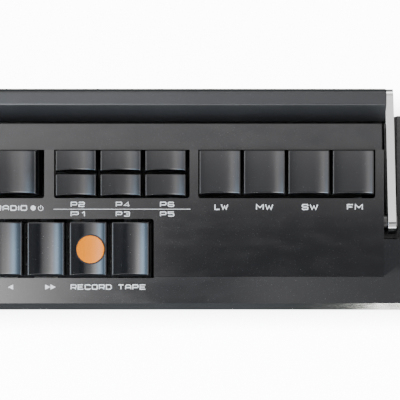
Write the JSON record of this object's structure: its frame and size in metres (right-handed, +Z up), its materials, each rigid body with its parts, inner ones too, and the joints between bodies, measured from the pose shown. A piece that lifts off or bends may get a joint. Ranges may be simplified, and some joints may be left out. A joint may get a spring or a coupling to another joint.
{
  "type": "portable radio cassette recorder",
  "caption": "Portable radio cassette recorder with a folding carry handle, top-mounted piano keys for the tape deck, wave-band and preset keys, and a working deck behind a tilting door.",
  "frame": {"origin": "under the middle of the recorder, on the surface it stands on", "axes": "+X to the right along the front, +Y to the rear, +Z up; the controls are on top and the speakers face -Y"},
  "size_m": [0.4, 0.112, 0.236],
  "materials": {
    "cabinet_plastic": "fine grained black plastic",
    "panel_plastic": "satin black plastic",
    "door_plastic": "satin black plastic",
    "grip_plastic": "semi-gloss black plastic",
    "key_plastic": "polished blue-black plastic",
    "slider_plastic": "polished black plastic",
    "mark_plastic": "orange plastic",
    "pointer_plastic": "orange plastic",
    "spindle_plastic": "off-white plastic",
    "cell_sleeve": "printed steel sleeve",
    "grille_metal": "satin dark enamel",
    "speaker_steel": "passivated steel",
    "cone_paper": "pressed paper",
    "door_clear": "smoked clear plastic",
    "dial_clear": "clear plastic",
    "dial_print": "black printed plate",
    "knob_metal": "turned and satin",
    "plated_steel": "zinc plated",
    "deck_steel": "zinc plated sheet",
    "turned_steel": "turned",
    "motor_steel": "zinc plated can",
    "chrome": "polished",
    "brass": "turned",
    "rubber": "matte",
    "board_laminate": "paper laminate"
  },
  "bodies": {
    "cabinet": {"front_cabinet": "cabinet_plastic", "rear_cabinet": "cabinet_plastic", "control_panel": "panel_plastic", "cabinet_screws": "plated_steel", "rubber_feet": "rubber", "battery_cells": "cell_sleeve", "left_grille": "grille_metal", "right_grille": "grille_metal", "speaker_frames": "speaker_steel", "speaker_cones": "cone_paper", "dial_scale": "dial_print", "dial_window": "dial_clear", "key_shaft": "plated_steel", "handle_pivots": "chrome", "aerial_collar": "chrome", "aerial_outer_tube": "chrome", "deck_chassis": "deck_steel", "deck_motor": "motor_steel", "drive_belt": "rubber", "circuit_board": "board_laminate"},
    "battery_cover": {"battery_cover": "cabinet_plastic"},
    "cassette_door": {"cassette_door": "door_plastic", "door_window": "door_clear"},
    "pointer": {"dial_pointer": "pointer_plastic"},
    "tuning_knob": {"tuning_knob": "knob_metal"},
    "handle": {"handle_grip": "grip_plastic", "left_handle_arm": "chrome", "right_handle_arm": "chrome"},
    "aerial_middle": {"aerial_middle_tube": "chrome"},
    "aerial_tip": {"aerial_rod": "chrome"},
    "supply_reel": {"supply_spindle": "spindle_plastic"},
    "take_up_reel": {"take_up_spindle": "spindle_plastic"},
    "flywheel": {"capstan_flywheel": "turned_steel"},
    "pinch_arm": {"pinch_roller_arm": "deck_steel"},
    "pinch_wheel": {"pinch_roller": "rubber"},
    "heads": {"head_carriage": "deck_steel"},
    "pulley": {"motor_pulley": "brass"},
    "eject_key_body": {"eject_key": "key_plastic"},
    "stop_key_body": {"stop_key": "key_plastic"},
    "pause_key_body": {"pause_key": "key_plastic"},
    "fast_forward_key_body": {"fast_forward_key": "key_plastic"},
    "play_key_body": {"play_key": "key_plastic"},
    "rewind_key_body": {"rewind_key": "key_plastic"},
    "record_key_body": {"record_key": "key_plastic", "record_mark": "mark_plastic"},
    "tape_key_body": {"tape_key": "key_plastic"},
    "radio_key_body": {"radio_key": "key_plastic"},
    "long_wave_key_body": {"long_wave_key": "key_plastic"},
    "medium_wave_key_body": {"medium_wave_key": "key_plastic"},
    "short_wave_key_body": {"short_wave_key": "key_plastic"},
    "fm_key_body": {"fm_key": "key_plastic"},
    "preset_key_1_body": {"preset_key_1": "key_plastic"},
    "preset_key_2_body": {"preset_key_2": "key_plastic"},
    "preset_key_3_body": {"preset_key_3": "key_plastic"},
    "preset_key_4_body": {"preset_key_4": "key_plastic"},
    "preset_key_5_body": {"preset_key_5": "key_plastic"},
    "preset_key_6_body": {"preset_key_6": "key_plastic"},
    "volume_slider_body": {"volume_slider": "slider_plastic"},
    "tone_slider_body": {"tone_slider": "slider_plastic"},
    "balance_slider_body": {"balance_slider": "slider_plastic"}
  },
  "joints": [
    {"name": "handle_swing", "type": "hinge", "parent": "cabinet", "child": "handle", "pos_m": [0, -0.0043, 0.224], "axis": [1, 0, 0], "range_deg": [0, 100]},
    {"name": "eject_key_tip", "type": "hinge", "parent": "cabinet", "child": "eject_key_body", "pos_m": [0, 0.003, 0.225], "axis": [1, 0, 0], "range_deg": [0, 5], "stiffness_Nm_per_rad": 0.6, "springref_deg": -8.59},
    {"name": "stop_key_tip", "type": "hinge", "parent": "cabinet", "child": "stop_key_body", "pos_m": [0, 0.003, 0.225], "axis": [1, 0, 0], "range_deg": [0, 5], "stiffness_Nm_per_rad": 0.6, "springref_deg": -8.59},
    {"name": "pause_key_tip", "type": "hinge", "parent": "cabinet", "child": "pause_key_body", "pos_m": [0, 0.003, 0.225], "axis": [1, 0, 0], "range_deg": [0, 5], "stiffness_Nm_per_rad": 0.6, "springref_deg": -8.59},
    {"name": "fast_forward_key_tip", "type": "hinge", "parent": "cabinet", "child": "fast_forward_key_body", "pos_m": [0, 0.003, 0.225], "axis": [1, 0, 0], "range_deg": [0, 5], "stiffness_Nm_per_rad": 0.6, "springref_deg": -8.59},
    {"name": "play_key_tip", "type": "hinge", "parent": "cabinet", "child": "play_key_body", "pos_m": [0, 0.003, 0.225], "axis": [1, 0, 0], "range_deg": [0, 5]},
    {"name": "rewind_key_tip", "type": "hinge", "parent": "cabinet", "child": "rewind_key_body", "pos_m": [0, 0.003, 0.225], "axis": [1, 0, 0], "range_deg": [0, 5], "stiffness_Nm_per_rad": 0.6, "springref_deg": -8.59},
    {"name": "record_key_tip", "type": "hinge", "parent": "cabinet", "child": "record_key_body", "pos_m": [0, 0.003, 0.225], "axis": [1, 0, 0], "range_deg": [0, 5], "stiffness_Nm_per_rad": 0.6, "springref_deg": -8.59},
    {"name": "tape_key_tip", "type": "hinge", "parent": "cabinet", "child": "tape_key_body", "pos_m": [0, 0.003, 0.225], "axis": [1, 0, 0], "range_deg": [0, 5], "stiffness_Nm_per_rad": 0.6, "springref_deg": -8.59},
    {"name": "radio_key_press", "type": "slide", "parent": "cabinet", "child": "radio_key_body", "axis": [0, 0, -1], "range_m": [0, 0.003], "stiffness_N_per_m": 250, "springref_m": -0.003},
    {"name": "long_wave_key_press", "type": "slide", "parent": "cabinet", "child": "long_wave_key_body", "axis": [0, 0, -1], "range_m": [0, 0.003], "stiffness_N_per_m": 250, "springref_m": -0.003},
    {"name": "medium_wave_key_press", "type": "slide", "parent": "cabinet", "child": "medium_wave_key_body", "axis": [0, 0, -1], "range_m": [0, 0.003], "stiffness_N_per_m": 250, "springref_m": -0.003},
    {"name": "short_wave_key_press", "type": "slide", "parent": "cabinet", "child": "short_wave_key_body", "axis": [0, 0, -1], "range_m": [0, 0.003], "stiffness_N_per_m": 250, "springref_m": -0.003},
    {"name": "fm_key_press", "type": "slide", "parent": "cabinet", "child": "fm_key_body", "axis": [0, 0, -1], "range_m": [0, 0.003], "stiffness_N_per_m": 250, "springref_m": -0.003},
    {"name": "preset_key_1_press", "type": "slide", "parent": "cabinet", "child": "preset_key_1_body", "axis": [0, 0, -1], "range_m": [0, 0.003], "stiffness_N_per_m": 250, "springref_m": -0.003},
    {"name": "preset_key_2_press", "type": "slide", "parent": "cabinet", "child": "preset_key_2_body", "axis": [0, 0, -1], "range_m": [0, 0.003], "stiffness_N_per_m": 250, "springref_m": -0.003},
    {"name": "preset_key_3_press", "type": "slide", "parent": "cabinet", "child": "preset_key_3_body", "axis": [0, 0, -1], "range_m": [0, 0.003], "stiffness_N_per_m": 250, "springref_m": -0.003},
    {"name": "preset_key_4_press", "type": "slide", "parent": "cabinet", "child": "preset_key_4_body", "axis": [0, 0, -1], "range_m": [0, 0.003], "stiffness_N_per_m": 250, "springref_m": -0.003},
    {"name": "preset_key_5_press", "type": "slide", "parent": "cabinet", "child": "preset_key_5_body", "axis": [0, 0, -1], "range_m": [0, 0.003], "stiffness_N_per_m": 250, "springref_m": -0.003},
    {"name": "preset_key_6_press", "type": "slide", "parent": "cabinet", "child": "preset_key_6_body", "axis": [0, 0, -1], "range_m": [0, 0.003], "stiffness_N_per_m": 250, "springref_m": -0.003},
    {"name": "volume_slider_slide", "type": "slide", "parent": "cabinet", "child": "volume_slider_body", "axis": [1, 0, 0], "range_m": [-0.02, 0.02]},
    {"name": "tone_slider_slide", "type": "slide", "parent": "cabinet", "child": "tone_slider_body", "axis": [1, 0, 0], "range_m": [-0.02, 0.02]},
    {"name": "balance_slider_slide", "type": "slide", "parent": "cabinet", "child": "balance_slider_body", "axis": [1, 0, 0], "range_m": [-0.02, 0.02]},
    {"name": "tuning_turn", "type": "hinge", "parent": "cabinet", "child": "tuning_knob", "pos_m": [-0.162, -0.044, 0.201], "axis": [0, 1, 0], "range_deg": [-540, 540]},
    {"name": "pointer_slide", "type": "slide", "parent": "cabinet", "child": "pointer", "axis": [1, 0, 0], "range_m": [-0.1135, 0.1135]},
    {"name": "door_open", "type": "hinge", "parent": "cabinet", "child": "cassette_door", "pos_m": [0, -0.0422, 0.0576], "axis": [1, 0, 0], "range_deg": [0, 25]},
    {"name": "battery_cover_open", "type": "hinge", "parent": "cabinet", "child": "battery_cover", "pos_m": [0, 0.0429, 0.0095], "axis": [-1, 0, 0], "range_deg": [0, 75]},
    {"name": "aerial_middle_pull", "type": "slide", "parent": "cabinet", "child": "aerial_middle", "axis": [0, 0, 1], "range_m": [0, 0.13]},
    {"name": "aerial_tip_pull", "type": "slide", "parent": "aerial_middle", "child": "aerial_tip", "axis": [0, 0, 1], "range_m": [0, 0.13]},
    {"name": "supply_turn", "type": "hinge", "parent": "cabinet", "child": "supply_reel", "pos_m": [0.02125, -0.0245, 0.0916], "axis": [0, 1, 0], "continuous": true},
    {"name": "take_up_turn", "type": "hinge", "parent": "cabinet", "child": "take_up_reel", "pos_m": [-0.02125, -0.0245, 0.0916], "axis": [0, 1, 0], "continuous": true},
    {"name": "flywheel_turn", "type": "hinge", "parent": "cabinet", "child": "flywheel", "pos_m": [-0.024, -0.0245, 0.119], "axis": [0, 1, 0], "continuous": true},
    {"name": "pulley_turn", "type": "hinge", "parent": "cabinet", "child": "pulley", "pos_m": [0.038, -0.0142, 0.14], "axis": [0, 1, 0], "continuous": true},
    {"name": "heads_lower", "type": "slide", "parent": "cabinet", "child": "heads", "axis": [0, 0, -1], "range_m": [0, 0.0078], "stiffness_N_per_m": 150, "springref_m": -0.006},
    {"name": "pinch_swing", "type": "hinge", "parent": "cabinet", "child": "pinch_arm", "pos_m": [-0.046, -0.0245, 0.1357], "axis": [0, 1, 0], "range_deg": [0, 15.5]},
    {"name": "pinch_wheel_turn", "type": "hinge", "parent": "pinch_arm", "child": "pinch_wheel", "pos_m": [-0.024, -0.0245, 0.1327], "axis": [0, 1, 0], "continuous": true}
  ],
  "couplings": [
    {"joint": "pointer_slide", "follows": "tuning_turn", "m_per_rad": 0.012},
    {"joint": "play_key_tip", "follows": "heads_lower", "rad_per_m": 11.15},
    {"joint": "pinch_swing", "follows": "heads_lower", "rad_per_m": 34.5},
    {"joint": "pulley_turn", "follows": "flywheel_turn", "ratio": 6.75}
  ]
}
